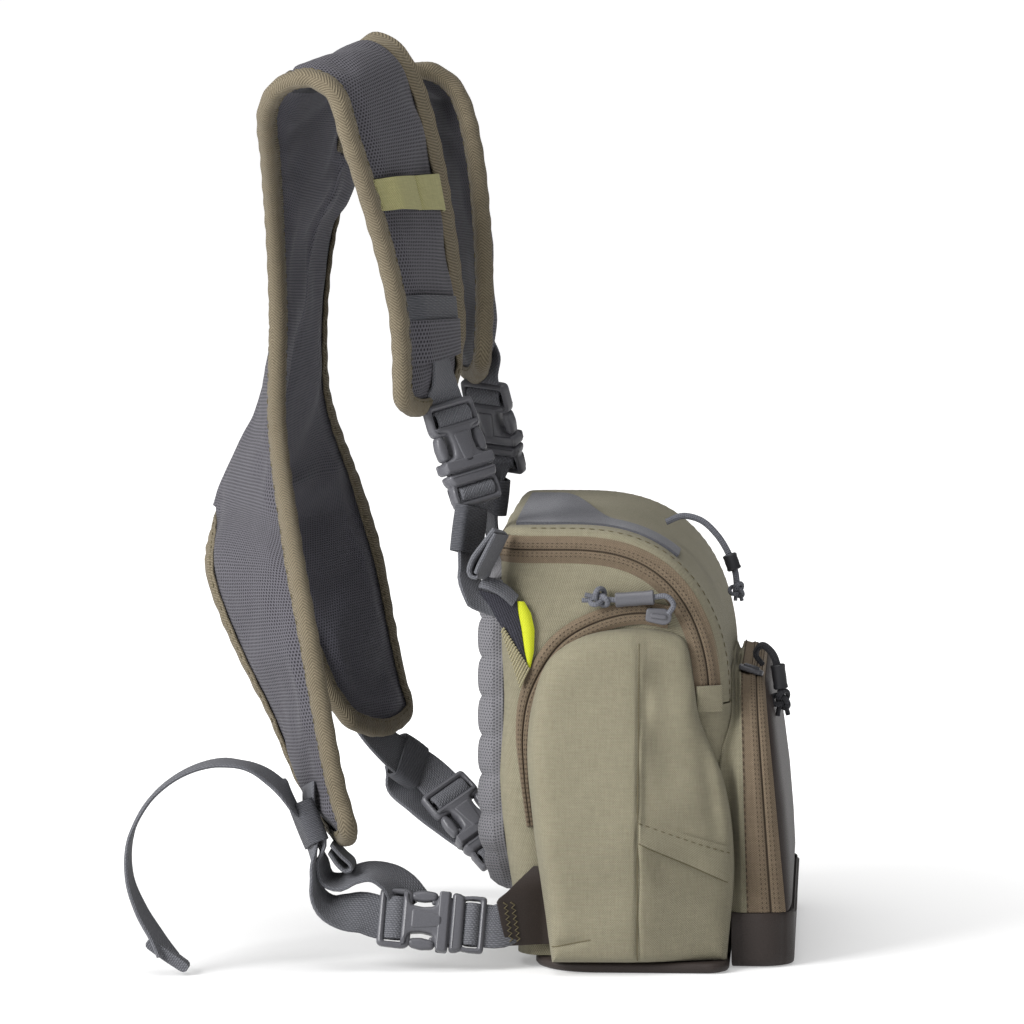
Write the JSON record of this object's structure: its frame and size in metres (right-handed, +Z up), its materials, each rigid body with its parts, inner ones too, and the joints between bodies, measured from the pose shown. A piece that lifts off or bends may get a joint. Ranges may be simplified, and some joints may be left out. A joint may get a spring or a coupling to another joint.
{
  "type": "chest pack",
  "caption": "Small padded bag worn on the chest, with a mesh yoke that crosses the back, webbing straps with side-release buckles, a zipped lid and zipped pockets.",
  "frame": {"origin": "the nape, where the yoke lies on the wearer, at the outer face of the yoke between the shoulders", "axes": "+X forwards away from the wearer, +Y to the wearer's left, +Z up"},
  "size_m": [0.2458, 0.2309, 0.3384],
  "materials": {
    "spacer_mesh": "open spacer mesh, matt",
    "binding_tape": "twill tape, stitched",
    "green_tape": "woven tape",
    "grey_elastic": "ribbed elastic",
    "olive_cloth": "plain woven nylon, matt",
    "zip_tape": "coil zip on woven tape",
    "grey_felt": "brushed felt",
    "moulded_brown": "coated cloth, moulded, low sheen",
    "lime_lining": "smooth lining cloth",
    "grey_webbing": "ribbed woven webbing",
    "grey_plastic": "moulded acetal, satin",
    "grey_cord": "braided cord",
    "dark_cord": "braided cord",
    "dark_plastic": "moulded plastic, satin"
  },
  "bodies": {
    "root": {"yoke_pad": "spacer_mesh", "back_pad": "spacer_mesh", "yoke_binding_near": "binding_tape", "yoke_binding_far": "binding_tape", "shoulder_loops": "green_tape", "shoulder_elastic": "grey_elastic", "keeper_upper_near": "grey_elastic", "keeper_upper_far": "grey_elastic", "keeper_lower_near": "grey_elastic", "keeper_lower_far": "grey_elastic", "main_body": "olive_cloth", "body_floor": "olive_cloth", "lid": "olive_cloth", "side_pocket_near": "olive_cloth", "side_pocket_far": "olive_cloth", "pocket_flap_near": "olive_cloth", "pocket_flap_far": "olive_cloth", "front_gusset": "olive_cloth", "lid_zip": "zip_tape", "side_zip_near": "zip_tape", "side_zip_far": "zip_tape", "front_zip": "zip_tape", "lid_patch": "grey_felt", "front_panel": "moulded_brown", "front_boot": "moulded_brown", "base_panel": "moulded_brown", "corner_tab_near": "moulded_brown", "corner_tab_far": "moulded_brown", "slit_lining_near": "lime_lining", "slit_lining_far": "lime_lining", "strap_upper_near": "grey_webbing", "strap_upper_far": "grey_webbing", "anchor_upper_near": "grey_webbing", "anchor_upper_far": "grey_webbing", "fold_upper_near": "grey_webbing", "strap_lower_near": "grey_webbing", "strap_lower_far": "grey_webbing", "stub_lower_near": "grey_webbing", "stub_lower_far": "grey_webbing", "tail_lower_near": "grey_webbing", "tail_lower_far": "grey_webbing", "buckle_socket_upper_near": "grey_plastic", "buckle_socket_upper_far": "grey_plastic", "buckle_socket_lower_near": "grey_plastic", "buckle_socket_lower_far": "grey_plastic", "buckle_plug_upper_near": "grey_plastic", "buckle_plug_upper_far": "grey_plastic", "buckle_plug_lower_near": "grey_plastic", "buckle_plug_lower_far": "grey_plastic", "side_grip_near": "grey_plastic", "side_grip_far": "grey_plastic", "side_slider_near": "grey_plastic", "side_slider_far": "grey_plastic", "front_slider": "grey_plastic", "side_pull_near": "grey_cord", "side_pull_far": "grey_cord", "lid_loop": "grey_cord", "front_pull": "dark_cord", "front_grip": "dark_plastic", "loop_toggle": "dark_plastic"}
  },
  "joints": []
}
